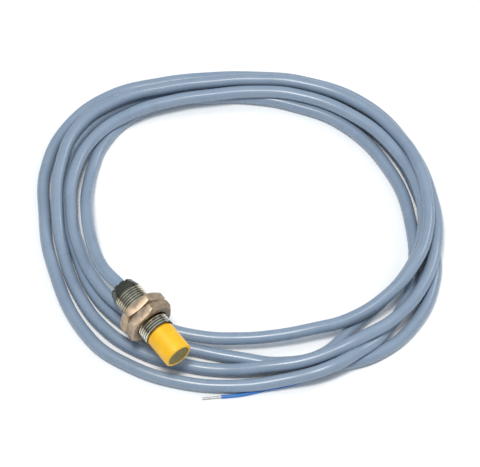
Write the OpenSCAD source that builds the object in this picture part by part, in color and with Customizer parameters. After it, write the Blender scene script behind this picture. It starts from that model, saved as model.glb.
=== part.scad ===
// Inductive proximity sensor in a short threaded metal barrel, with its cable wound in a loose flat coil.
// Origin: centre of the sensing face. +X points out of that face along the barrel, +Z is up from the table.

/* [Barrel] */
// Outside diameter of the thread
thread_d = 12; // [11.5:0.1:16]
// Length of the metal barrel
barrel_len = 20.3; // [19.5:0.1:40]
// Wall of the barrel, measured under the outside diameter of its thread
barrel_wall = 1; // [0.8:0.1:1.2]
// Bare thread between the cap and the front nut
front_thread = 5; // [3:0.5:7]
// Width of the relief groove at the middle of the thread
relief_w = 1; // [0.6:0.1:1.5]
// Depth of the relief groove
relief_depth = 0.35; // [0.2:0.05:0.6]
// Chamfer on the two ends of the barrel
barrel_chamfer = 0.3; // [0.1:0.05:0.4]

/* [Nuts] */
// Width across the flats of a nut
nut_af = 17; // [16:0.5:19]
// Thickness of a nut
nut_thick = 4; // [3:0.5:5]
// Gap between the two nuts where they rest against each other
nut_gap = 0.1; // [0.05:0.05:0.5]
// How far the rear nut is turned against the front nut
nut_turn = -7; // [-30:1:30]
// Turn of the front nut about the barrel
nut_lean = 54; // [0:1:60]
// Height of the chamfer on a nut's corners
nut_chamfer = 0.8; // [0.2:0.05:0.9]

/* [Sensing cap] */
// Step from the barrel's outside down to the plastic cap
cap_step = 0.5; // [0.3:0.1:0.8]
// Length of the cap in front of the barrel
cap_len = 11.5; // [10:0.5:18]
// Length of the cap's spigot inside the barrel
cap_spigot = 3; // [2.5:0.5:4]
// Thickness of the sensing face
face_t = 0.8; // [0.6:0.1:1.2]
// Wall of the cap
cap_wall = 0.7; // [0.65:0.05:0.8]
// Radius on the front edge of the cap
cap_round = 0.5; // [0.2:0.1:0.8]
// Width of the rim around the sensing face
cap_rim = 0.6; // [0.4:0.1:0.9]
// Thickness of the cord of the seal ring
seal_cord = 0.5; // [0.4:0.02:0.5]

/* [Sensing coil] */
// Height of the ferrite core
core_h = 3.6; // [3:0.1:4.5]
// Diameter of the core's centre post
post_d = 3.6; // [3:0.1:4]
// Wall of the core around the winding
core_wall = 0.7; // [0.5:0.1:0.9]
// Depth of the core's annular pocket
pocket_depth = 2.5; // [2:0.1:2.8]
// Thickness of a bobbin flange
flange_t = 0.3; // [0.2:0.05:0.4]
// Thickness of the holder behind the core
holder_t = 2; // [1.6:0.1:3]

/* [Circuit board] */
// Thickness of the board
board_t = 0.8; // [0.6:0.1:1]
// Width of the board
board_w = 7.6; // [7:0.1:7.8]
// Space for the leads between the board and the cable's jacket
wiring_space = 3.5; // [3:0.1:5]

/* [Rear end] */
// Step from the barrel's outside down to the plastic end ring
ring_step = 0.3; // [0.1:0.1:0.5]
// Length of the end ring behind the barrel
ring_len = 4; // [3.5:0.5:6]
// Length of the end ring's straight part, before it tapers
ring_straight = 0.8; // [0.4:0.1:1.2]
// Diameter of the end ring at its rear edge
rim_d = 9.2; // [9:0.1:9.8]
// Length of the end ring's spigot inside the barrel
ring_spigot = 3; // [2.5:0.5:4]
// Wall of the end ring's spigot
ring_side = 0.8; // [0.7:0.05:1]
// Thickness of the end ring's rear wall
ring_wall = 1.5; // [1.2:0.1:1.8]
// Number of notches in the end ring's rear edge
notches = 10; // [4:1:12]
// Width of a notch
notch_w = 1.1; // [0.8:0.1:1.4]
// Length of a notch along the ring
notch_len = 1.1; // [0.6:0.1:1.1]
// Depth of a notch into the ring's rear edge
notch_depth = 0.8; // [0.3:0.1:0.8]
// Wall of the rubber grommet between the cable and the end ring
grommet_wall = 0.9; // [0.7:0.05:1.2]
// Wall of the clamp ring on the cable
clamp_wall = 0.7; // [0.5:0.05:0.9]
// Width of the clamp ring
clamp_w = 1.8; // [1.2:0.1:2]

/* [Cable] */
// Diameter of the cable
cable_d = 4.8; // [4.4:0.1:5.2]
// Wall of the cable's jacket
jacket_wall = 0.75; // [0.6:0.05:0.75]
// Diameter of an insulated core
wire_d = 1.3; // [1:0.1:1.4]
// Diameter of a tinned core end
tin_d = 0.9; // [0.7:0.05:1]
// Length of a tinned core end
tin_len = 7; // [5:0.5:9]
// Height of the coil where two layers of cable lie on each other
coil_low_h = 8.9; // [8:0.1:9]
// Height of the coil where three layers of cable cross
coil_high_h = 14; // [12:0.5:15]

/* [Fits] */
// Radial clearance of a part pressed or bonded into another
press_gap = 0.02; // [0.01:0.01:0.04]
// Radial clearance of a nut on the thread
nut_run = 0.05; // [0.02:0.01:0.08]
// Gap between parts that only lie near each other
near_gap = 0.1; // [0.05:0.01:0.15]

/* [Hidden] */
$fn = 64;

// Places along the barrel, all measured from the sensing face
barrel_front = -cap_len;
barrel_rear = barrel_front - barrel_len;
rear_end = barrel_rear - ring_len;
bore_d = thread_d - 2 * barrel_wall;
cap_d = thread_d - 2 * cap_step;
cap_bore = bore_d - 2 * press_gap - 2 * cap_wall;
front_nut_x = barrel_front - front_thread - nut_thick;
rear_nut_x = front_nut_x - nut_gap - nut_thick;
relief_x = barrel_front - front_thread - relief_w;
core_front = -face_t - near_gap;
core_rear = core_front - core_h;
holder_front = core_rear - near_gap;
holder_rear = holder_front - holder_t;
core_d = cap_bore - 2 * press_gap;
pocket_d = core_d - 2 * core_wall;
bobbin_front = core_front;
bobbin_rear = core_front - pocket_depth;
board_slot = 1;
board_front = holder_rear + board_slot;

board_top = board_t / 2;
hub_d = post_d + 2 * near_gap + 0.5;
winding_d = pocket_d - 4 * near_gap;

// Leads from the middle of the winding to the board
lead_d = 0.3;
lead_z = board_top + 0.2;
lead_r = (hub_d + winding_d) / 4;
lead_y = sqrt(lead_r * lead_r - lead_z * lead_z);
lead_end = holder_rear - 1.6;

// Rear end: the cable's jacket starts inside the end ring
ring_d = thread_d - 2 * ring_step;
ring_bore = bore_d - 2 * press_gap - 2 * ring_side;
grommet_d = cable_d + 2 * grommet_wall;
clamp_d = cable_d + 2 * clamp_wall;
jacket_bore = cable_d - 2 * jacket_wall;
ring_spigot_front = barrel_rear + ring_spigot;
jacket_front = ring_spigot_front - 0.6;
board_rear = jacket_front + wiring_space;
board_len = board_front - board_rear;
clamp_rear = rear_end + ring_wall + near_gap;
clamp_front = clamp_rear + clamp_w;
resin_rear = clamp_front + near_gap;
resin_front = jacket_front - 0.4;
pad_x = board_rear + 1.6;
pad_z = board_top + wire_d / 2 + 0.05;
pad_pitch = wire_d + 0.45;
core_pitch = wire_d / sqrt(3) + 0.05;

// Table under the sensor, and the middle of the cable coil on it
table_z = -19;
coil_centre = [-36.5, 55.5];
coil_turn = 52.9;
// Outer and inner edge of the coil's band, one value for every 30 degrees round it
coil_out = [77.5, 78, 77, 73, 79, 84.5, 77, 75.5, 72.5, 70, 72.5, 79.5];
coil_in = [63.5, 61.5, 59.5, 58, 61, 63.5, 61.5, 56, 50, 46, 50, 60.5];
// Stretch of the band where the turns are piled three high, in degrees round it
pile_from = -55;
pile_to = 40;

// Routes of the stretches that aren't coiled: the sensor's end of the cable, and its three cores
lead_straight = 1.5;
lead_route = [
    [rear_end, 0, 0], [rear_end - lead_straight, 0, 0], [-43.5, -0.3, -1], [-48.4, 0.1, -2.5], [-53.3, 1.2, -3.9],
    [-59.3, 3.3, -5.5], [-65.9, 6.2, -7.2], [-72.5, 9.7, -9.2], [-78.5, 13.4, -11.4],
    [-83, 16.6, -13.2], [-87, 20, -14.8], [-90.6, 23.5, -15.9], [-93.8, 27.1, -16.5]
];
blue_route = [
    [29.4, 43.6, -18.2], [28.5, 37.5, -18.3], [27.1, 32.5, -18.3], [25.7, 29, -18.3], [23.3, 23.9, -18.3],
    [21, 18.3, -18.3], [18.6, 13.3, -18.3], [15.2, 7.7, -18.3]
];
brown_route = [
    [27.8, 44, -18.2], [26.5, 38.5, -18.3], [24.6, 32.4, -18.3], [21.8, 25.9, -18.3], [18.4, 19.8, -18.3],
    [14.6, 14.2, -18.3], [10.7, 9.1, -18.3], [6.3, 4.5, -18.3]
];
black_route = [
    [26.8, 45, -18.2], [22.4, 40.4, -18.3], [19.6, 35.3, -18.3], [16.7, 29.7, -18.3], [13.8, 24.7, -18.3],
    [10, 18.6, -18.3], [6.1, 13.5, -18.3], [1.7, 8.9, -18.3]
];

// A round bar along X from x0 to x1
module bar(x0, x1, d) {
    translate([x0, 0, 0]) rotate([0, 90, 0]) cylinder(h = x1 - x0, d = d);
}

// A tube along X: a bar with a bore through it
module pipe(x0, x1, d, bore) {
    difference() {
        bar(x0, x1, d);
        bar(x0 - 1, x1 + 1, bore);
    }
}

// A turned piece: the profile's first number is the distance back from the face, the second the radius
module turned(profile) {
    rotate([0, -90, 0]) rotate_extrude() polygon([for (p = profile) [p[1], p[0]]]);
}

// Direction of a route at point i
function along(p, i) =
    let (a = p[max(i - 1, 0)], b = p[min(i + 1, len(p) - 1)]) (b - a) / norm(b - a);
// One ring of a swept tube
function ring(c, t, r, sides) =
    let (s = cross(t, [0, 0, 1]), u = s / norm(s), v = cross(u, t))
    [for (k = [0 : sides - 1])
        c + r * cos(360 * (k + 0.5) / sides) * u + r * sin(360 * (k + 0.5) / sides) * v];

// A closed tube swept along a route
module sweep(route, d, sides) {
    n = len(route);
    points = [for (i = [0 : n - 1]) each ring(route[i], along(route, i), d / 2, sides)];
    walls = [for (i = [0 : n - 2]) for (k = [0 : sides - 1])
        let (a = i * sides + k, b = i * sides + (k + 1) % sides) each
        [[a, b, b + sides], [a, b + sides, a + sides]]];
    start = [[for (k = [0 : sides - 1]) sides - 1 - k]];
    end = [[for (k = [0 : sides - 1]) (n - 1) * sides + k]];
    polyhedron(points = points, faces = concat(walls, start, end));
}

// Smooth value between the twelve stations round the coil
function station(list, a) =
    let (n = len(list), s = a / 360 * n, i = floor(s), f = s - i,
        p0 = list[(i - 1 + n) % n], p1 = list[i % n], p2 = list[(i + 1) % n], p3 = list[(i + 2) % n])
    0.5 * (2 * p1 + (p2 - p0) * f + (2 * p0 - 5 * p1 + 4 * p2 - p3) * f * f
        + (3 * p1 - p0 - 3 * p2 + p3) * f * f * f);
function edge(list) = [for (a = [0 : 6 : 354]) station(list, a) * [cos(a), sin(a)]];

// Barrel: a tube with the thread's outside diameter, a relief groove and two chamfers
module threaded_barrel() color([0.78, 0.76, 0.70]) {
    r = thread_d / 2;
    b = bore_d / 2;
    x0 = -barrel_front;
    x1 = -barrel_rear;
    g = -relief_x;
    turned([
        [x0, b], [x0, r - barrel_chamfer], [x0 + barrel_chamfer, r],
        [g - relief_w, r], [g - relief_w, r - relief_depth], [g, r - relief_depth], [g, r],
        [x1 - barrel_chamfer, r], [x1, r - barrel_chamfer], [x1, b]
    ]);
}

// Cap: a cup over the sensing coil with a spigot in the barrel and a groove for the seal ring
seal_x = cap_len + cap_spigot / 2;
seal_floor = bore_d / 2 - seal_cord;
module sensing_cap() color([0.96, 0.74, 0.12]) {
    r = cap_d / 2;
    s = bore_d / 2 - press_gap;
    b = cap_bore / 2;
    turned(concat(
        [[face_t, 0], [0, 0]],
        [[0, r - cap_rim - 0.3], [0.25, r - cap_rim - 0.3], [0.25, r - cap_rim], [0, r - cap_rim]],
        [for (a = [90 : -15 : 0]) [cap_round * (1 - sin(a)), r - cap_round * (1 - cos(a))]],
        [[cap_len, r], [cap_len, s], [seal_x - seal_cord / 2, s], [seal_x - seal_cord / 2, seal_floor]],
        [[seal_x + seal_cord / 2, seal_floor], [seal_x + seal_cord / 2, s]],
        [[cap_len + cap_spigot, s], [cap_len + cap_spigot, b], [face_t, b]]
    ));
}

module cap_seal_ring() color([0.12, 0.12, 0.12]) {
    cord = seal_cord - 0.04;
    translate([-seal_x, 0, 0]) rotate([0, 90, 0]) rotate_extrude()
        translate([seal_floor + 0.01 + cord / 2, 0]) circle(d = cord);
}

// Pot core: open towards the sensing face, with two holes for the winding's ends
module ferrite_core() color([0.20, 0.20, 0.22]) difference() {
    bar(core_rear, core_front, core_d);
    difference() {
        bar(bobbin_rear, core_front + 1, pocket_d);
        bar(bobbin_rear - 1, core_front + 2, post_d);
    }
    for (y = [-lead_y, lead_y])
        translate([core_rear - 1, y, lead_z]) rotate([0, 90, 0]) cylinder(h = core_h, d = lead_d + 2 * near_gap);
}

module coil_bobbin() color([0.90, 0.88, 0.80]) {
    tube_d = post_d + 2 * near_gap;
    out = pocket_d - 2 * near_gap;
    r0 = bobbin_rear + near_gap;
    f0 = bobbin_front - near_gap;
    difference() {
        union() {
            bar(r0, f0, hub_d);
            bar(r0, r0 + flange_t, out);
            bar(f0 - flange_t, f0, out);
        }
        bar(r0 - 1, f0 + 1, tube_d);
        for (y = [-lead_y, lead_y])
            translate([r0 - 1, y, lead_z]) rotate([0, 90, 0])
                cylinder(h = 1 + flange_t + 0.05, d = lead_d + 2 * near_gap);
    }
}

module coil_winding() color([0.72, 0.38, 0.18]) {
    r0 = bobbin_rear + near_gap + flange_t;
    f0 = bobbin_front - near_gap - flange_t;
    pipe(r0 + press_gap, f0 - press_gap, winding_d, hub_d + 2 * press_gap);
}

module coil_leads() color([0.80, 0.42, 0.20]) {
    front = bobbin_rear + near_gap + flange_t;
    for (y = [-lead_y, lead_y])
        translate([lead_end, y, lead_z]) rotate([0, 90, 0]) cylinder(h = front - lead_end, d = lead_d);
}

// Holder: a disc behind the core with a slot for the board's front edge
module core_holder() color([0.30, 0.32, 0.30]) difference() {
    bar(holder_rear, holder_front, core_d);
    translate([holder_rear - 1, -board_w / 2 - near_gap, -board_t / 2 - press_gap])
        cube([1 + board_slot + near_gap, board_w + 2 * near_gap, board_t + 2 * press_gap]);
    for (y = [-lead_y, lead_y])
        translate([holder_rear - 1, y, lead_z]) rotate([0, 90, 0])
            cylinder(h = holder_t + 2, d = lead_d + 2 * near_gap);
}

module circuit_board() color([0.10, 0.42, 0.22])
    translate([board_rear, -board_w / 2, -board_t / 2]) cube([board_len, board_w, board_t]);

// A small moulded package on the board: side 1 is the top face, side -1 the bottom face
module package(x, y, size, side = 1, lift = 0.08) {
    z = side > 0 ? board_top + lift : -board_top - lift - size[2];
    translate([x - size[0] / 2, y - size[1] / 2, z]) cube(size);
}

// Gull-wing legs along the two long sides of a package
module legs(x, y, size, count, pitch) {
    for (i = [0 : count - 1]) for (side = [-1, 1])
        translate([x + (i - (count - 1) / 2) * pitch - 0.15, y + side * (size[1] / 2 + 0.2) - 0.25, board_top])
            cube([0.3, 0.5, 0.25]);
}

module oscillator_chip() color([0.10, 0.10, 0.11]) {
    size = [3.2, 2.6, 0.9];
    x = board_front - 6.5;
    package(x, 0, size);
    legs(x, 0, size, 4, 0.75);
}

module output_transistor() color([0.12, 0.12, 0.13]) {
    size = [2.9, 1.4, 1];
    x = board_rear + 5;
    package(x, 1.6, size);
    legs(x, 1.6, size, 2, 1.9);
}

module protection_diode() color([0.16, 0.15, 0.14]) {
    package(board_rear + 5, -1.7, [2.6, 1.5, 1]);
    for (x = [-1.35, 1.35]) package(board_rear + 5 + x, -1.7, [0.5, 1, 0.4], 1, 0);
}

module chip_capacitors() color([0.72, 0.60, 0.42]) {
    for (p = [[-4, 3], [-4, -3], [-11, 1.2]])
        package(board_front + p[0] + (p[1] == 3 || p[1] == -3 ? -1.2 : 0), p[1] * 0.9, [1.6, 0.8, 0.7], 1, 0.03);
    package(board_front - 8, 0, [2, 1.2, 1], -1, 0.03);
}

module chip_resistors() color([0.14, 0.14, 0.15]) {
    for (x = [-9.2, -11.1]) package(board_front + x, -1.3, [1.6, 0.8, 0.5], 1, 0.03);
    for (x = [-5, -11, -13.5]) package(board_front + x, 1.5, [1.6, 0.8, 0.5], -1, 0.03);
}

module status_leds() color([0.95, 0.85, 0.45]) {
    for (side = [-1, 1]) package(board_rear + 2.6, side * 3.1, [1.6, 0.8, 0.7], side, 0.03);
}

module solder_joints() color([0.80, 0.80, 0.82]) {
    for (y = [-pad_pitch, 0, pad_pitch])
        translate([pad_x + 1.1, y, board_top]) cylinder(h = 0.35, r1 = 0.55, r2 = 0.25);
    for (y = [-lead_y, lead_y])
        translate([lead_end - 0.35, y, board_top]) cylinder(h = 0.3, r1 = 0.3, r2 = 0.15);
}

// Insulated cores inside the housing, from the cable's jacket to the pads at the board's rear edge
module inner_lead(angle, pad_y) {
    y = core_pitch * cos(angle);
    z = core_pitch * sin(angle);
    start = jacket_front - 2;
    turn = jacket_front + 0.2;
    rise = board_rear - 0.8;
    sweep([
        [start, y, z], [turn, y, z], [(turn + rise) / 2, (y + pad_y) / 2, (z + pad_z) / 2],
        [rise, pad_y, pad_z], [pad_x + 0.4, pad_y, pad_z]
    ], wire_d, 8);
}
module inner_lead_brown() color([0.42, 0.24, 0.12]) inner_lead(210, -pad_pitch);
module inner_lead_black() color([0.06, 0.06, 0.06]) inner_lead(90, 0);
module inner_lead_blue() color([0.10, 0.35, 0.80]) inner_lead(330, pad_pitch);

module rear_resin() color([0.22, 0.20, 0.16])
    pipe(resin_rear, resin_front, ring_bore - 2 * press_gap, cable_d + 2 * press_gap);

// End ring: dark translucent plastic, tapered to the rear and notched round its rear edge,
// pressed into the barrel
module end_ring() color([0.17, 0.17, 0.12]) {
    r = ring_d / 2;
    s = bore_d / 2 - press_gap;
    c = 0.3;
    difference() {
        turned([
            [-ring_spigot_front, ring_bore / 2], [-ring_spigot_front, s], [-barrel_rear, s],
            [-barrel_rear, r], [ring_straight - barrel_rear, r],
            [-rear_end - c, rim_d / 2 + c / 2], [-rear_end, rim_d / 2 - c / 2],
            [-rear_end, grommet_d / 2], [-rear_end - ring_wall, grommet_d / 2],
            [-rear_end - ring_wall, ring_bore / 2]
        ]);
        for (i = [0 : notches - 1])
            rotate([360 / notches * (i + 0.5), 0, 0])
                translate([rear_end - 1, -notch_w / 2, rim_d / 2 - notch_depth])
                    cube([notch_len + 1, notch_w, ring_d]);
    }
}

module cable_clamp_ring() color([0.75, 0.75, 0.76])
    pipe(clamp_rear, clamp_front, clamp_d, cable_d + 2 * press_gap);

module cable_grommet() color([0.08, 0.08, 0.08])
    pipe(rear_end, rear_end + ring_wall, grommet_d - 2 * press_gap, cable_d + 2 * press_gap);

module cable_jacket_end() color([0.58, 0.62, 0.70]) pipe(rear_end, jacket_front, cable_d, jacket_bore);

// Hexagon nut with chamfered corners, its bore running on the thread
module nut(x, turn) {
    corner = nut_af / sqrt(3);
    in = nut_af / 2 - 0.15;
    out = corner + 0.15;
    difference() {
        intersection() {
            translate([x, 0, 0]) rotate([turn, 0, 0]) rotate([0, 90, 0])
                cylinder(h = nut_thick, r = corner, $fn = 6);
            turned([
                [-x - nut_thick, 0], [-x - nut_thick, in], [-x - nut_thick + nut_chamfer, out],
                [-x - nut_chamfer, out], [-x, in], [-x, 0]
            ]);
        }
        bar(x - 1, x + nut_thick + 1, thread_d + 2 * nut_run);
    }
}
module front_nut() color([0.80, 0.77, 0.70]) nut(front_nut_x, nut_lean);
module rear_nut() color([0.78, 0.74, 0.66]) nut(rear_nut_x, nut_lean + nut_turn);

// Cable: the stretch from the end ring down to the coil, and the coil's outer shape
module cable_lead() color([0.58, 0.62, 0.70]) sweep(lead_route, cable_d, 12);

module cable_coil() color([0.55, 0.59, 0.68]) translate([coil_centre[0], coil_centre[1], table_z])
    rotate([0, 0, coil_turn]) {
        n = 60;
        outline = concat(edge(coil_out), edge(coil_in));
        rings = [[for (i = [0 : n - 1]) i], [for (i = [0 : n - 1]) 2 * n - 1 - i]];
        linear_extrude(height = coil_low_h) polygon(points = outline, paths = rings);
        linear_extrude(height = coil_high_h) intersection() {
            polygon(points = outline, paths = rings);
            polygon(concat([[0, 0]], [for (a = [pile_from : 5 : pile_to]) 110 * [cos(a), sin(a)]]));
        }
    }

// Stripped cores at the cable's far end, and their tinned tips
module wire_blue() color([0.10, 0.36, 0.85]) sweep(blue_route, wire_d, 8);
module wire_brown() color([0.42, 0.24, 0.12]) sweep(brown_route, wire_d, 8);
module wire_black() color([0.05, 0.05, 0.06]) sweep(black_route, wire_d, 8);

// A tinned tip continues a core's last stretch
module tip(route) {
    n = len(route);
    t = along(route, n - 1);
    translate(route[n - 1]) rotate([0, 0, atan2(t[1], t[0])]) rotate([0, 90, 0]) cylinder(h = tin_len, d = tin_d);
}
module tinned_end_blue() color([0.80, 0.80, 0.80]) tip(blue_route);
module tinned_end_brown() color([0.80, 0.80, 0.80]) tip(brown_route);
module tinned_end_black() color([0.80, 0.80, 0.80]) tip(black_route);

threaded_barrel();
sensing_cap();
cap_seal_ring();
ferrite_core();
coil_bobbin();
coil_winding();
coil_leads();
core_holder();
circuit_board();
oscillator_chip();
output_transistor();
chip_capacitors();
chip_resistors();
protection_diode();
status_leds();
solder_joints();
inner_lead_brown();
inner_lead_blue();
inner_lead_black();
rear_resin();
end_ring();
cable_clamp_ring();
cable_grommet();
cable_jacket_end();
front_nut();
rear_nut();
cable_lead();
cable_coil();
wire_blue();
wire_brown();
wire_black();
tinned_end_blue();
tinned_end_brown();
tinned_end_black();
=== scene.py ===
from math import cos, pi, radians, sin, sqrt

import bpy
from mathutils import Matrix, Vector


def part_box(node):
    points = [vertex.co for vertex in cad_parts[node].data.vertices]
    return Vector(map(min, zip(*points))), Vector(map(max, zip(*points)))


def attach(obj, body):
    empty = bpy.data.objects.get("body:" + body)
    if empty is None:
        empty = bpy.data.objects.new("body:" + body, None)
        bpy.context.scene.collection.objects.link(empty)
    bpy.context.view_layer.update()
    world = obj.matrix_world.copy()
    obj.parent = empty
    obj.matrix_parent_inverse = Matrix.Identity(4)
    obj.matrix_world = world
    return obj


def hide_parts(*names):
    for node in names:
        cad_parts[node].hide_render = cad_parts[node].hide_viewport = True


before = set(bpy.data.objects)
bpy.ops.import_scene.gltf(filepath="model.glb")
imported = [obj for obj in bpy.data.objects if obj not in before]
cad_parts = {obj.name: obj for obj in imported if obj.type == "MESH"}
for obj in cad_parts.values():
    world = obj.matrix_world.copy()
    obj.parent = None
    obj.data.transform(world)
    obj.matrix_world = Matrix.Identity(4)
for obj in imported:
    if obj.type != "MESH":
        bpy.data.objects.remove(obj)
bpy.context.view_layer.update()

bpy.ops.object.select_all(action="DESELECT")
MM = 0.001


# Table, light and camera. The sensor lies on a white paper table under soft studio light: a strong
# lamp overhead, a weaker one behind it on the right, and a plain white room. The camera looks down
# on the middle of the cable's coil.
table_z = -19 * MM
coil_x = -36.5 * MM
coil_y = 55.5 * MM
coil_turn = radians(52.9)
camera_distance = 0.9
camera_height = radians(60)
camera_lens = 175.5

right = Vector((cos(coil_turn), sin(coil_turn), 0))
away = Vector((-sin(coil_turn), cos(coil_turn), 0))
up = Vector((0, 0, 1))
middle = Vector((coil_x, coil_y, table_z))

camera_data = bpy.data.cameras.new("camera")
camera_data.lens = camera_lens
camera_data.sensor_width = 36
camera_data.clip_end = 10
camera = bpy.data.objects.new("camera", camera_data)
bpy.context.collection.objects.link(camera)
camera.location = middle + camera_distance * (up * sin(camera_height) - away * cos(camera_height))
camera.rotation_mode = "QUATERNION"
camera.rotation_quaternion = (middle - camera.location).to_track_quat("-Z", "Y")
bpy.context.scene.camera = camera


def soft_lamp(name, towards, distance, size, power, colour):
    """A square area lamp that faces the middle of the coil from one side."""
    data = bpy.data.lights.new(name, "AREA")
    data.shape = "SQUARE"
    data.size = size
    data.energy = power
    data.color = colour
    lamp = bpy.data.objects.new(name, data)
    bpy.context.collection.objects.link(lamp)
    lamp.location = middle + distance * towards.normalized()
    lamp.rotation_mode = "QUATERNION"
    lamp.rotation_quaternion = (middle - lamp.location).to_track_quat("-Z", "Y")


soft_lamp("main_lamp", -0.1 * right - 0.22 * away + 1.25 * up, 1.1, 0.24, 8, (1, 0.97, 0.92))
soft_lamp("side_lamp", 1.1 * right + 0.5 * away + 1.0 * up, 1.2, 0.3, 3, (1, 0.98, 0.95))

# The room is white overhead and dim at the height of the table, so metal shows light and dark bands
room = bpy.data.worlds.new("white_room")
bpy.context.scene.world = room
room.use_nodes = True
tree = room.node_tree
direction = tree.nodes.new("ShaderNodeTexCoord")
split = tree.nodes.new("ShaderNodeSeparateXYZ")
walls = tree.nodes.new("ShaderNodeValToRGB")
walls.color_ramp.elements[0].position = 0.02
walls.color_ramp.elements[0].color = (0.26, 0.24, 0.21, 1)
walls.color_ramp.elements[1].position = 0.55
walls.color_ramp.elements[1].color = (0.80, 0.90, 1, 1)
tree.links.new(direction.outputs["Generated"], split.inputs[0])
tree.links.new(split.outputs["Z"], walls.inputs["Fac"])
tree.links.new(walls.outputs["Color"], tree.nodes["Background"].inputs["Color"])
tree.nodes["Background"].inputs["Strength"].default_value = 0.62
bpy.context.scene.view_settings.view_transform = "Standard"

bpy.ops.mesh.primitive_plane_add(size=6, location=(coil_x, coil_y, table_z))
table = bpy.context.object
table.name = "table_top"
table_paper = bpy.data.materials.new("white_paper")
table_paper.use_nodes = True
paper = table_paper.node_tree.nodes["Principled BSDF"]
paper.inputs["Base Color"].default_value = (0.92, 0.925, 0.93, 1)
paper.inputs["Roughness"].default_value = 0.9
table.data.materials.append(table_paper)


# Cable: a round PVC-jacketed cable, 4.8 mm thick and about 2 m long. It leaves the sensor straight,
# comes down to the table and is wound by hand in nearly five loose turns, which cross and ride over
# each other on the right. Its far end is cut and stripped.
cable_d = 4.8 * MM
lead_straight = 1.5
rear_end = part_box("end_ring")[0].x / MM
lead_route = [
    (rear_end, 0, 0), (rear_end - lead_straight, 0, 0),
    (-43.5, -0.3, -1), (-48.4, 0.1, -2.5), (-53.3, 1.2, -3.9),
    (-59.3, 3.3, -5.5), (-65.9, 6.2, -7.2), (-72.5, 9.7, -9.2), (-78.5, 13.4, -11.4),
    (-83, 16.6, -13.2), (-87, 20, -14.8), (-90.6, 23.5, -15.9), (-93.8, 27.1, -16.5),
]
# Each turn is (degrees round the coil, radius, height of the cable's middle above the table)
coil_turns = [
    [(145, 66.2, 2.4), (130, 67.2, 2.4), (115, 64.8, 2.4), (100, 61.7, 2.4), (85, 60.8, 2.4),
     (70, 61, 2.4), (50, 63, 2.4), (25, 64.2, 2.4), (5, 65.5, 2.4), (-20, 68.8, 2.4),
     (-40, 70.3, 3.6), (-52, 70, 7), (-62, 69.5, 7.2), (-75, 67, 4.4), (-92, 66.6, 2.4),
     (-110, 68.6, 2.4)],
    [(235, 71, 2.4), (220, 73, 2.4), (190, 73.2, 2.4), (175, 75.5, 2.4), (160, 80.4, 2.4),
     (145, 82.5, 2.4), (130, 80.2, 2.4), (115, 74.6, 2.4), (100, 71.2, 2.4), (85, 70.7, 2.4),
     (70, 72.7, 2.4), (50, 75.8, 2.4), (30, 75.8, 2.8), (10, 75, 5.4), (-5, 75, 7),
     (-20, 74, 7.2), (-35, 71, 7.8), (-47, 67.6, 9.6), (-58, 65, 8.4), (-68, 63.2, 7.2),
     (-80, 60.9, 5.6), (-95, 60.3, 2.8), (-110, 61.4, 2.4)],
    [(235, 64, 2.4), (220, 66.2, 2.4), (205, 67, 2.4), (190, 68, 3.2), (175, 70.4, 6),
     (160, 74.2, 7), (145, 77, 7.2), (130, 74, 7.2), (115, 68.8, 7.2), (100, 66, 7.2),
     (85, 66.4, 7.2), (70, 69, 6.8), (50, 72.3, 6.8), (32, 73.4, 8), (20, 73, 10.8),
     (8, 72.3, 11.6), (-5, 71.2, 11.4), (-17, 68.6, 12), (-30, 64, 9.8), (-45, 58, 7.4),
     (-60, 52.2, 6.8), (-75, 49.2, 6), (-90, 48.4, 5.6), (-107, 50, 6)],
    [(235, 53.2, 6.5), (220, 56.8, 6.6), (205, 59.5, 6.9), (190, 61.8, 7), (175, 64.8, 7),
     (160, 68.2, 7), (145, 68.9, 7), (130, 66, 7), (115, 62.2, 7), (100, 60, 7.1),
     (85, 60.8, 7.1), (70, 63.2, 6.8), (50, 66.2, 6.6), (30, 68.8, 7), (10, 70.5, 7.2),
     (-5, 69.5, 6.4), (-17, 67, 7.2), (-30, 62.6, 4.8), (-45, 59.6, 2.6), (-60, 61.6, 2.4),
     (-75, 59, 2.4), (-90, 55, 2.4), (-107, 54, 2.4)],
    [(235, 57.2, 2.4), (220, 59.7, 2.4), (205, 61.7, 2.4), (190, 63, 2.4), (175, 67, 2.4),
     (160, 73, 2.4), (145, 75.8, 2.4), (130, 74, 2.4), (115, 69.7, 2.4), (100, 66.4, 2.4),
     (85, 65.7, 2.4), (70, 67.2, 2.4), (50, 68.8, 2.4), (30, 70, 2.4), (10, 71.2, 2.4),
     (-5, 74.2, 2.4), (-17, 76.8, 2.4), (-32, 77, 2.4), (-46, 73.8, 2.4), (-60, 67.8, 2.4)],
]
table_gap = 0.1
cable_route = [Vector(point) * MM for point in lead_route]
for turn in coil_turns:
    for angle, radius, height in turn:
        direction = radians(angle) + coil_turn
        cable_route.append(Vector((
            coil_x + radius * MM * cos(direction),
            coil_y + radius * MM * sin(direction),
            table_z + (height + table_gap) * MM,
        )))


def smooth_cord(name, routes, thickness, sides):
    """One open curve through the points of each route, with a round bevel of the cord's thickness."""
    data = bpy.data.curves.new(name, "CURVE")
    data.dimensions = "3D"
    data.resolution_u = 8
    data.bevel_depth = thickness / 2
    data.bevel_resolution = sides
    data.use_fill_caps = True
    for route in routes:
        spline = data.splines.new("BEZIER")
        spline.bezier_points.add(len(route) - 1)
        for point, place in zip(spline.bezier_points, route):
            point.co = place
            point.handle_left_type = "AUTO"
            point.handle_right_type = "AUTO"
    cord = bpy.data.objects.new(name, data)
    bpy.context.collection.objects.link(cord)
    return cord


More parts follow.
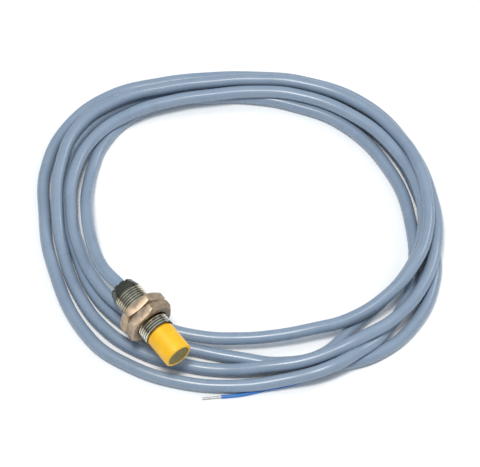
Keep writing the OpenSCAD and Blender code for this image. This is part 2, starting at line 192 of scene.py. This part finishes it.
# Every surface of the sensor has broad patches of a slightly other colour and a fine grain
grain = bpy.data.node_groups.new("patches_and_grain", "ShaderNodeTree")
for socket, kind in (("Light", "Color"), ("Dark", "Color"), ("Patches", "Float"), ("Grain", "Float")):
    grain.interface.new_socket(socket, in_out="INPUT", socket_type="NodeSocket" + kind)
for socket, kind in (("Colour", "Color"), ("Mask", "Float"), ("Height", "Float")):
    grain.interface.new_socket(socket, in_out="OUTPUT", socket_type="NodeSocket" + kind)
inside = grain.nodes.new("NodeGroupInput")
outside = grain.nodes.new("NodeGroupOutput")
place = grain.nodes.new("ShaderNodeTexCoord")
patches = grain.nodes.new("ShaderNodeTexNoise")
patches.inputs["Detail"].default_value = 5
fine = grain.nodes.new("ShaderNodeTexNoise")
fine.inputs["Detail"].default_value = 3
contrast = grain.nodes.new("ShaderNodeMapRange")
contrast.inputs["From Min"].default_value = 0.35
contrast.inputs["From Max"].default_value = 0.65
mix = grain.nodes.new("ShaderNodeMix")
mix.data_type = "RGBA"
grain.links.new(place.outputs["Object"], patches.inputs["Vector"])
grain.links.new(place.outputs["Object"], fine.inputs["Vector"])
grain.links.new(inside.outputs["Patches"], patches.inputs["Scale"])
grain.links.new(inside.outputs["Grain"], fine.inputs["Scale"])
grain.links.new(patches.outputs["Fac"], contrast.inputs["Value"])
grain.links.new(contrast.outputs["Result"], mix.inputs["Factor"])
grain.links.new(inside.outputs["Dark"], mix.inputs[6])
grain.links.new(inside.outputs["Light"], mix.inputs[7])
grain.links.new(mix.outputs[2], outside.inputs["Colour"])
grain.links.new(contrast.outputs["Result"], outside.inputs["Mask"])
grain.links.new(fine.outputs["Fac"], outside.inputs["Height"])


def finish(name, light, dark, patch_size, grain_size, relief, roughness, metallic=0.0):
    """A material with patches from dark to light, and a grain of the given size and relief in mm."""
    material = bpy.data.materials.new(name)
    material.use_nodes = True
    tree = material.node_tree
    shader = tree.nodes["Principled BSDF"]
    shader.inputs["Metallic"].default_value = metallic
    surface = tree.nodes.new("ShaderNodeGroup")
    surface.node_tree = grain
    surface.inputs["Light"].default_value = (*light, 1)
    surface.inputs["Dark"].default_value = (*dark, 1)
    surface.inputs["Patches"].default_value = 1 / (patch_size * MM)
    surface.inputs["Grain"].default_value = 1 / (grain_size * MM)
    gloss = tree.nodes.new("ShaderNodeMapRange")
    gloss.inputs["To Min"].default_value = roughness[0]
    gloss.inputs["To Max"].default_value = roughness[1]
    bump = tree.nodes.new("ShaderNodeBump")
    bump.inputs["Distance"].default_value = relief * MM
    tree.links.new(surface.outputs["Colour"], shader.inputs["Base Color"])
    tree.links.new(surface.outputs["Mask"], gloss.inputs["Value"])
    tree.links.new(gloss.outputs["Result"], shader.inputs["Roughness"])
    tree.links.new(surface.outputs["Height"], bump.inputs["Height"])
    tree.links.new(bump.outputs["Normal"], shader.inputs["Normal"])
    return material


def paint(node, material):
    """Gives a CAD node its finish in place of the plain one."""
    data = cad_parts[node].data
    data.materials.clear()
    data.materials.append(material)


jacket_pvc = finish("jacket_pvc", (0.235, 0.305, 0.4), (0.215, 0.28, 0.372), 9, 0.35, 0.01, (0.25, 0.31))
cable = smooth_cord("cable_jacket", [cable_route], cable_d, 6)
cable.data.materials.append(jacket_pvc)
paint("cable_jacket_end", jacket_pvc)
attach(cable, "housing")
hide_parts("cable_lead", "cable_coil")


# Cores: three PVC-insulated cores come out of the stripped end of the jacket and lie on the table.
# Each is stripped again at its tip, where seven tinned copper strands are twisted together.
core_d = 1.3 * MM
core_routes = {
    "blue": [(31.3, 48.9, -16.4), (30.9, 46.2, -16.7), (30.3, 44.2, -17.6), (29.4, 42, -18.3),
             (28.5, 37.5, -18.3), (27.1, 32.5, -18.3), (25.7, 29, -18.3), (23.3, 23.9, -18.3),
             (21, 18.3, -18.3), (18.6, 13.3, -18.3), (15.2, 7.7, -18.3)],
    "brown": [(30.9, 48.6, -17.2), (30.1, 46, -17.6), (29, 44.8, -18.1), (27.8, 43.2, -18.3),
              (26.5, 38.5, -18.3), (24.6, 32.4, -18.3), (21.8, 25.9, -18.3), (18.4, 19.8, -18.3),
              (14.6, 14.2, -18.3), (10.7, 9.1, -18.3), (6.3, 4.5, -18.3)],
    "black": [(30.2, 48.8, -16.6), (29.7, 46.4, -17.2), (28.5, 45.6, -18), (26.6, 44.6, -18.3),
              (22.4, 40.4, -18.3), (19.6, 35.3, -18.3), (16.7, 29.7, -18.3), (13.8, 24.7, -18.3),
              (10, 18.6, -18.3), (6.1, 13.5, -18.3), (1.7, 8.9, -18.3)],
}
core_colours = {"blue": (0.025, 0.19, 0.56), "brown": (0.13, 0.05, 0.02), "black": (0.014, 0.014, 0.016)}
tinned = finish("tinned_strands", (0.78, 0.78, 0.78), (0.55, 0.54, 0.52), 1, 0.1, 0.02, (0.25, 0.45), 1)
strand_d = 0.3 * MM
strand_ring = 0.29 * MM
strand_turns = 1.6
tip_len = 7 * MM
middle_steps = 12
twist_steps = 28
for name, route in core_routes.items():
    route = [Vector(point) * MM for point in route]
    light = core_colours[name]
    dark = [0.8 * part for part in light]
    pvc = finish("core_pvc_" + name, light, dark, 4, 0.2, 0.01, (0.3, 0.42))
    core = smooth_cord("core_" + name, [route], core_d, 4)
    core.data.materials.append(pvc)
    paint("inner_lead_" + name, pvc)
    ahead = (route[-1] - route[-2]).normalized()
    side = ahead.cross(up)
    strands = [[route[-1] + ahead * tip_len * k / middle_steps for k in range(-1, middle_steps + 1)]]
    for strand in range(6):
        twist = []
        for k in range(-2, twist_steps + 1):
            turn = 2 * pi * (strand / 6 + k / twist_steps * strand_turns)
            along = route[-1] + ahead * tip_len * k / twist_steps
            twist.append(along + strand_ring * (side * cos(turn) + up * sin(turn)))
        strands.append(twist)
    tip = smooth_cord("strands_" + name, strands, strand_d, 2)
    tip.data.resolution_u = 3
    tip.data.materials.append(tinned)
    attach(tip, "housing")
    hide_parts("tinned_end_" + name)
    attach(core, "housing")
    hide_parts("wire_" + name)


# Barrel: a brass tube turned on a lathe, cut with an M12 x 1 thread from end to end and nickel-plated.
# Its ends are chamfered, and a narrow relief groove lies under the front nut.
thread_r = 6 * MM
thread_root = 5.42 * MM
pitch = 1 * MM
barrel_low, barrel_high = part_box("threaded_barrel")
barrel_rear, barrel_front = barrel_low.x, barrel_high.x
relief_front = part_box("front_nut")[1].x
turn_steps = 96
thread_steps = 72
weld = 0.001 * MM


def spun(name, profile, closed):
    """A lathed piece: (place along X, radius) points are extruded from each other and spun about X."""
    bpy.ops.object.select_all(action="DESELECT")
    bpy.ops.mesh.primitive_plane_add(size=MM, location=(0, 0, 0))
    piece = bpy.context.object
    piece.name = name
    bpy.ops.object.mode_set(mode="EDIT")
    bpy.ops.mesh.select_all(action="SELECT")
    bpy.ops.mesh.merge(type="CENTER")
    bpy.ops.transform.translate(value=(profile[0][0], 0, profile[0][1]))
    for before, after in zip(profile, profile[1:]):
        step = (after[0] - before[0], 0, after[1] - before[1])
        bpy.ops.mesh.extrude_region_move(TRANSFORM_OT_translate={"value": step})
    if closed:
        step = (profile[0][0] - profile[-1][0], 0, profile[0][1] - profile[-1][1])
        bpy.ops.mesh.extrude_region_move(TRANSFORM_OT_translate={"value": step})
    bpy.ops.mesh.select_all(action="SELECT")
    bpy.ops.mesh.spin(steps=turn_steps, angle=2 * pi, center=(0, 0, 0), axis=(1, 0, 0))
    bpy.ops.mesh.select_all(action="SELECT")
    bpy.ops.mesh.remove_doubles(threshold=weld)
    bpy.ops.mesh.normals_make_consistent(inside=False)
    bpy.ops.object.mode_set(mode="OBJECT")
    return piece


def cut(piece, tool, operation):
    """Applies a boolean of the tool to the piece, and removes the tool."""
    modifier = piece.modifiers.new("cut", "BOOLEAN")
    modifier.operation = operation
    modifier.solver = "EXACT"
    modifier.object = tool
    bpy.context.view_layer.objects.active = piece
    bpy.ops.object.modifier_apply(modifier=modifier.name)
    bpy.data.objects.remove(tool)


def shade(piece, angle):
    """Smooth shading that stays sharp at edges above the angle."""
    bpy.ops.object.select_all(action="DESELECT")
    piece.select_set(True)
    bpy.context.view_layer.objects.active = piece
    bpy.ops.object.shade_smooth_by_angle(angle=radians(angle))


bpy.ops.object.select_all(action="DESELECT")
bpy.ops.mesh.primitive_plane_add(size=MM, location=(0, 0, 0))
barrel = bpy.context.object
barrel.name = "barrel_with_thread"
bpy.ops.object.mode_set(mode="EDIT")
bpy.ops.mesh.select_all(action="SELECT")
bpy.ops.mesh.merge(type="CENTER")
bpy.ops.transform.translate(value=(barrel_rear - 2 * pitch, 0, thread_r))
for along, rise in ((0.13, 0), (0.34, -1), (0.19, 0), (0.34, 1)):  # crest, flank, root, flank
    step = (along * pitch, 0, rise * (thread_r - thread_root))
    bpy.ops.mesh.extrude_region_move(TRANSFORM_OT_translate={"value": step})
bpy.ops.object.mode_set(mode="OBJECT")
thread = barrel.modifiers.new("thread", "SCREW")
thread.axis = "X"
thread.screw_offset = pitch
thread.iterations = int((barrel_front - barrel_rear) / pitch) + 5
thread.steps = thread_steps
thread.render_steps = thread_steps
thread.use_merge_vertices = True
thread.merge_threshold = weld
bpy.ops.object.modifier_apply(modifier="thread")
bpy.ops.object.mode_set(mode="EDIT")
bpy.ops.mesh.select_all(action="SELECT")
bpy.ops.mesh.remove_doubles(threshold=weld)
for place, back in ((barrel_rear - 0.4 * pitch, True), (barrel_front + 0.4 * pitch, False)):
    bpy.ops.mesh.select_all(action="SELECT")
    bpy.ops.mesh.bisect(plane_co=(place, 0, 0), plane_no=(1, 0, 0), use_fill=True,
                        clear_inner=back, clear_outer=not back)
bpy.ops.mesh.select_all(action="SELECT")
bpy.ops.mesh.normals_make_consistent(inside=False)
bpy.ops.object.mode_set(mode="OBJECT")
chamfer = 0.5 * MM
bore_r = 5 * MM
blank_r = thread_r + 0.05 * MM
groove_r = thread_root - 0.02 * MM
cut(barrel, spun("barrel_blank", [
    (barrel_front, bore_r), (barrel_front, thread_r - chamfer), (barrel_front - chamfer, blank_r),
    (relief_front, blank_r), (relief_front, groove_r),
    (relief_front - pitch, groove_r), (relief_front - pitch, blank_r),
    (barrel_rear + chamfer, blank_r), (barrel_rear, thread_r - chamfer), (barrel_rear, bore_r),
], True), "INTERSECT")
shade(barrel, 40)

# How far a point of a turned piece lies from the axis it was turned on
from_axis = bpy.data.node_groups.new("distance_from_axis", "ShaderNodeTree")
from_axis.interface.new_socket("Radius", in_out="OUTPUT", socket_type="NodeSocketFloat")
outside = from_axis.nodes.new("NodeGroupOutput")
place = from_axis.nodes.new("ShaderNodeTexCoord")
flat = from_axis.nodes.new("ShaderNodeVectorMath")
flat.operation = "MULTIPLY"
flat.inputs[1].default_value = (0, 1, 1)
radius = from_axis.nodes.new("ShaderNodeVectorMath")
radius.operation = "LENGTH"
from_axis.links.new(place.outputs["Object"], flat.inputs[0])
from_axis.links.new(flat.outputs[0], radius.inputs[0])
from_axis.links.new(radius.outputs["Value"], outside.inputs["Radius"])

# Painted shade: the colour of the plating is darker in the roots of the thread, nearer the axis
nickel = finish("nickel_thread", (0.86, 0.84, 0.76), (0.62, 0.58, 0.47), 2.5, 0.12, 0.006, (0.12, 0.24), 1)
tree = nickel.node_tree
base_colour = tree.nodes["Principled BSDF"].inputs["Base Color"]
radius = tree.nodes.new("ShaderNodeGroup")
radius.node_tree = from_axis
rise = tree.nodes.new("ShaderNodeMapRange")
rise.inputs["From Min"].default_value = thread_root + 0.1 * (thread_r - thread_root)
rise.inputs["From Max"].default_value = thread_root + 0.65 * (thread_r - thread_root)
painted_root_shade = tree.nodes.new("ShaderNodeMix")
painted_root_shade.data_type = "RGBA"
painted_root_shade.inputs[6].default_value = (0.26, 0.23, 0.16, 1)
tree.links.new(radius.outputs["Radius"], rise.inputs["Value"])
tree.links.new(rise.outputs["Result"], painted_root_shade.inputs["Factor"])
tree.links.new(base_colour.links[0].from_socket, painted_root_shade.inputs[7])
tree.links.new(painted_root_shade.outputs[2], base_colour)
barrel.data.materials.append(nickel)
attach(barrel, "housing")
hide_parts("threaded_barrel")


# Nuts: two hexagon nuts, 17 mm across flats and 4 mm thick, cut from drawn brass bar, chamfered,
# faced on a lathe and nickel-plated. They are locked against each other on the thread.
nut_af = 17 * MM
corner = nut_af / sqrt(3)
nut_chamfer = 0.8 * MM
nut_bore = 6.05 * MM
nut_lean = 54  # degrees that the front nut is turned from standing on a corner
nut_turn = -7  # degrees that the rear nut is turned from the front nut
# Painted reflection: the nickel plating is coloured tan, the warm tone the nuts reflect from the room
nickel_painted_tan_reflection = finish("nickel_nut", (0.62, 0.47, 0.33), (0.37, 0.29, 0.21), 2, 0.25, 0.03, (0.4, 0.56), 1)
tree = nickel_painted_tan_reflection.node_tree
radius = tree.nodes.new("ShaderNodeGroup")
radius.node_tree = from_axis
turning_marks = tree.nodes.new("ShaderNodeTexNoise")
turning_marks.noise_dimensions = "1D"
turning_marks.inputs["Scale"].default_value = 1 / (0.18 * MM)
turning_marks.inputs["Detail"].default_value = 4
marks_bump = tree.nodes.new("ShaderNodeBump")
marks_bump.inputs["Distance"].default_value = 0.03 * MM
tree.links.new(radius.outputs["Radius"], turning_marks.inputs["W"])
tree.links.new(turning_marks.outputs["Fac"], marks_bump.inputs["Height"])
tree.links.new(tree.nodes["Bump"].outputs["Normal"], marks_bump.inputs["Normal"])
tree.links.new(marks_bump.outputs["Normal"], tree.nodes["Principled BSDF"].inputs["Normal"])

for node, body, lean in (("front_nut", "front_nut_body", nut_lean),
                         ("rear_nut", "rear_nut_body", nut_lean + nut_turn)):
    low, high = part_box(node)
    bpy.ops.object.select_all(action="DESELECT")
    bpy.ops.mesh.primitive_cylinder_add(vertices=6, radius=corner, depth=high.x - low.x,
                                        location=((low.x + high.x) / 2, 0, 0), rotation=(0, pi / 2, 0))
    nut = bpy.context.object
    nut.name = "hexagon_" + node
    # The new hexagon lies on a flat, 30 degrees from standing on a corner
    bpy.ops.transform.rotate(value=-radians(lean + 30), orient_axis="X", center_override=(0, 0, 0))
    bpy.ops.object.transform_apply(location=True, rotation=True, scale=True)
    face_r = nut_af / 2 - 0.15 * MM
    out_r = corner + 0.15 * MM
    sink = 0.45 * MM
    cut(nut, spun("chamfer_cone", [
        (high.x, nut_bore + sink), (high.x, face_r), (high.x - nut_chamfer, out_r),
        (low.x + nut_chamfer, out_r), (low.x, face_r), (low.x, nut_bore + sink),
        (low.x + sink, nut_bore), (high.x - sink, nut_bore),
    ], True), "INTERSECT")
    edges = nut.modifiers.new("edges", "BEVEL")
    edges.width = 0.1 * MM
    edges.segments = 2
    edges.limit_method = "ANGLE"
    edges.angle_limit = radians(25)
    bpy.context.view_layer.objects.active = nut
    bpy.ops.object.modifier_apply(modifier="edges")
    shade(nut, 30)
    nut.data.materials.append(nickel_painted_tan_reflection)
    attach(nut, body)
    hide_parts(node)


# Sensing cap: a cup moulded in yellow thermoplastic. Its flat face is finely stippled inside a smooth
# rounded rim, and its hollow spigot is pressed into the barrel behind a seal ring.
cap_low, cap_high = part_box("sensing_cap")
cap_r = cap_high.z
spigot_r = 4.98 * MM
cap_in = 4.28 * MM
face_sink = 0.12 * MM
face_t = 0.8 * MM
seal_low, seal_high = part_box("cap_seal_ring")
seal_mid = (seal_low.x + seal_high.x) / 2
seal_w = 0.5 * MM
seal_r = 4.5 * MM
rim = [(-0.12, -1.2), (-0.12, -1.05), (-0.03, -0.9), (0, -0.72),
       (-0.05, -0.42), (-0.2, -0.17), (-0.42, -0.04), (-0.7, 0)]
cap = spun("yellow_cap", [(-face_sink, 0)] + [(x * MM, cap_r + r * MM) for x, r in rim] + [
    (barrel_front + 0.15 * MM, cap_r), (barrel_front, cap_r - 0.15 * MM), (barrel_front, spigot_r),
    (seal_mid + seal_w / 2, spigot_r), (seal_mid + seal_w / 2, seal_r),
    (seal_mid - seal_w / 2, seal_r), (seal_mid - seal_w / 2, spigot_r),
    (cap_low.x + 0.2 * MM, spigot_r), (cap_low.x, spigot_r - 0.2 * MM), (cap_low.x, cap_in),
    (-face_t, cap_in), (-face_t, 0),
], False)
shade(cap, 35)
cap_plastic = finish("cap_plastic", (0.93, 0.52, 0.012), (0.86, 0.45, 0.008), 3, 0.16, 0.02, (0.34, 0.48))
# Painted shade: the stippled face inside the rim is coloured dark olive for the shade it lies in, where the
# cap's plastic is yellow
face_painted_shade = finish("cap_face_plastic", (0.30, 0.22, 0.035), (0.11, 0.095, 0.03),
                      0.8, 0.22, 0.12, (0.45, 0.6))
cap.data.materials.append(cap_plastic)
cap.data.materials.append(face_painted_shade)
# The faces inside the rim get the painted shade
stipple_r = cap_r - 1.1 * MM
for polygon in cap.data.polygons:
    on_face = polygon.center.x > -face_sink - 0.01 * MM and polygon.normal.x > 0.9
    if on_face and Vector(polygon.center[1:]).length < stipple_r:
        polygon.material_index = 1
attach(cap, "housing")
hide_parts("sensing_cap")


# End ring: dark translucent plastic, pressed into the barrel. It tapers to the cable, and notches
# for an assembly tool are cut round its rear edge.
ring_low, ring_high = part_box("end_ring")
ring_r = 5.7 * MM
ring_rim = 4.6 * MM
ring_in = 4.18 * MM
ring_straight = 0.8 * MM
ring_wall = 1.5 * MM
grommet_seat = 3.3 * MM
ring = spun("notched_end_ring", [
    (ring_high.x, ring_in), (ring_high.x, spigot_r), (barrel_rear, spigot_r),
    (barrel_rear, ring_r - 0.1 * MM), (barrel_rear - 0.1 * MM, ring_r), (barrel_rear - ring_straight, ring_r),
    (ring_low.x + 0.3 * MM, ring_rim + 0.15 * MM), (ring_low.x + 0.08 * MM, ring_rim + 0.02 * MM),
    (ring_low.x, ring_rim - 0.15 * MM), (ring_low.x, grommet_seat),
    (ring_low.x + ring_wall, grommet_seat), (ring_low.x + ring_wall, ring_in),
], True)
notches = 10
notch_middle = 4.8 * MM
notch_cutter = (2.1 * MM, 1.1 * MM, 2 * MM)
for notch in range(notches):
    turn = 2 * pi * (notch + 0.5) / notches
    place = (ring_low.x + 0.05 * MM, -notch_middle * sin(turn), notch_middle * cos(turn))
    bpy.ops.object.select_all(action="DESELECT")
    bpy.ops.mesh.primitive_cube_add(size=1, location=place, rotation=(turn, 0, 0), scale=notch_cutter)
    cut(ring, bpy.context.object, "DIFFERENCE")
shade(ring, 30)
smoke = finish("smoky_plastic", (0.035, 0.036, 0.024), (0.018, 0.02, 0.014), 2, 0.3, 0.02, (0.16, 0.3))
smoke.node_tree.nodes["Principled BSDF"].inputs["Coat Weight"].default_value = 0.3
ring.data.materials.append(smoke)
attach(ring, "housing")
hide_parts("end_ring")


# Grommet: a black rubber ring with a rounded lip seals the cable in the end ring.
grommet_low, grommet_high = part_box("cable_grommet")
grommet_r = 3.28 * MM
grommet_bore = 2.42 * MM
grommet = spun("rubber_grommet", [
    (grommet_high.x, grommet_bore), (grommet_high.x, grommet_r), (grommet_low.x + 0.1 * MM, grommet_r),
    (grommet_low.x + 0.02 * MM, 3.1 * MM), (grommet_low.x, 2.85 * MM),
    (grommet_low.x + 0.05 * MM, 2.55 * MM), (grommet_low.x + 0.25 * MM, grommet_bore),
], True)
shade(grommet, 40)
rubber = finish("seal_rubber", (0.03, 0.03, 0.03), (0.02, 0.02, 0.021), 1.5, 0.12, 0.02, (0.55, 0.7))
grommet.data.materials.append(rubber)
paint("cap_seal_ring", rubber)
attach(grommet, "housing")
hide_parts("cable_grommet")


# Inside the housing: the pot core with its bobbin and winding, the board with its parts soldered on,
# and the resin and crimped ring that hold the cable. Each finish is given with the pieces that have it.
inside_finishes = [
    (["ferrite_core"], ("ferrite", (0.07, 0.07, 0.075), (0.04, 0.04, 0.042), 1.5, 0.15, 0.03, (0.5, 0.7))),
    (["coil_bobbin"], ("bobbin_plastic", (0.78, 0.75, 0.62), (0.7, 0.66, 0.53), 2, 0.2, 0.01, (0.35, 0.5))),
    (["coil_winding", "coil_leads"],
     ("enamelled_copper", (0.72, 0.3, 0.13), (0.52, 0.19, 0.08), 0.6, 0.08, 0.04, (0.2, 0.35), 1)),
    (["core_holder"], ("holder_plastic", (0.08, 0.09, 0.08), (0.05, 0.06, 0.05), 2, 0.2, 0.02, (0.4, 0.55))),
    (["circuit_board"],
     ("solder_resist", (0.015, 0.13, 0.06), (0.01, 0.09, 0.04), 1.6, 0.15, 0.02, (0.22, 0.36))),
    (["oscillator_chip", "output_transistor", "protection_diode", "chip_resistors"],
     ("moulded_epoxy", (0.03, 0.03, 0.033), (0.02, 0.02, 0.022), 0.8, 0.08, 0.015, (0.45, 0.6))),
    (["chip_capacitors"], ("fired_ceramic", (0.5, 0.36, 0.2), (0.42, 0.29, 0.15), 0.8, 0.1, 0.01, (0.4, 0.55))),
    (["status_leds"], ("clear_epoxy", (0.85, 0.7, 0.3), (0.8, 0.62, 0.24), 0.8, 0.2, 0.004, (0.08, 0.16))),
    (["solder_joints"],
     ("bright_solder", (0.75, 0.75, 0.77), (0.6, 0.6, 0.62), 0.4, 0.08, 0.02, (0.18, 0.32), 1)),
    (["rear_resin"], ("cast_resin", (0.07, 0.06, 0.045), (0.045, 0.04, 0.03), 2, 0.3, 0.02, (0.3, 0.45))),
    (["cable_clamp_ring"], ("zinc_plate", (0.7, 0.7, 0.72), (0.5, 0.51, 0.53), 1, 0.12, 0.01, (0.25, 0.4), 1)),
]
for nodes, values in inside_finishes:
    material = finish(*values)
    for node in nodes:
        paint(node, material)
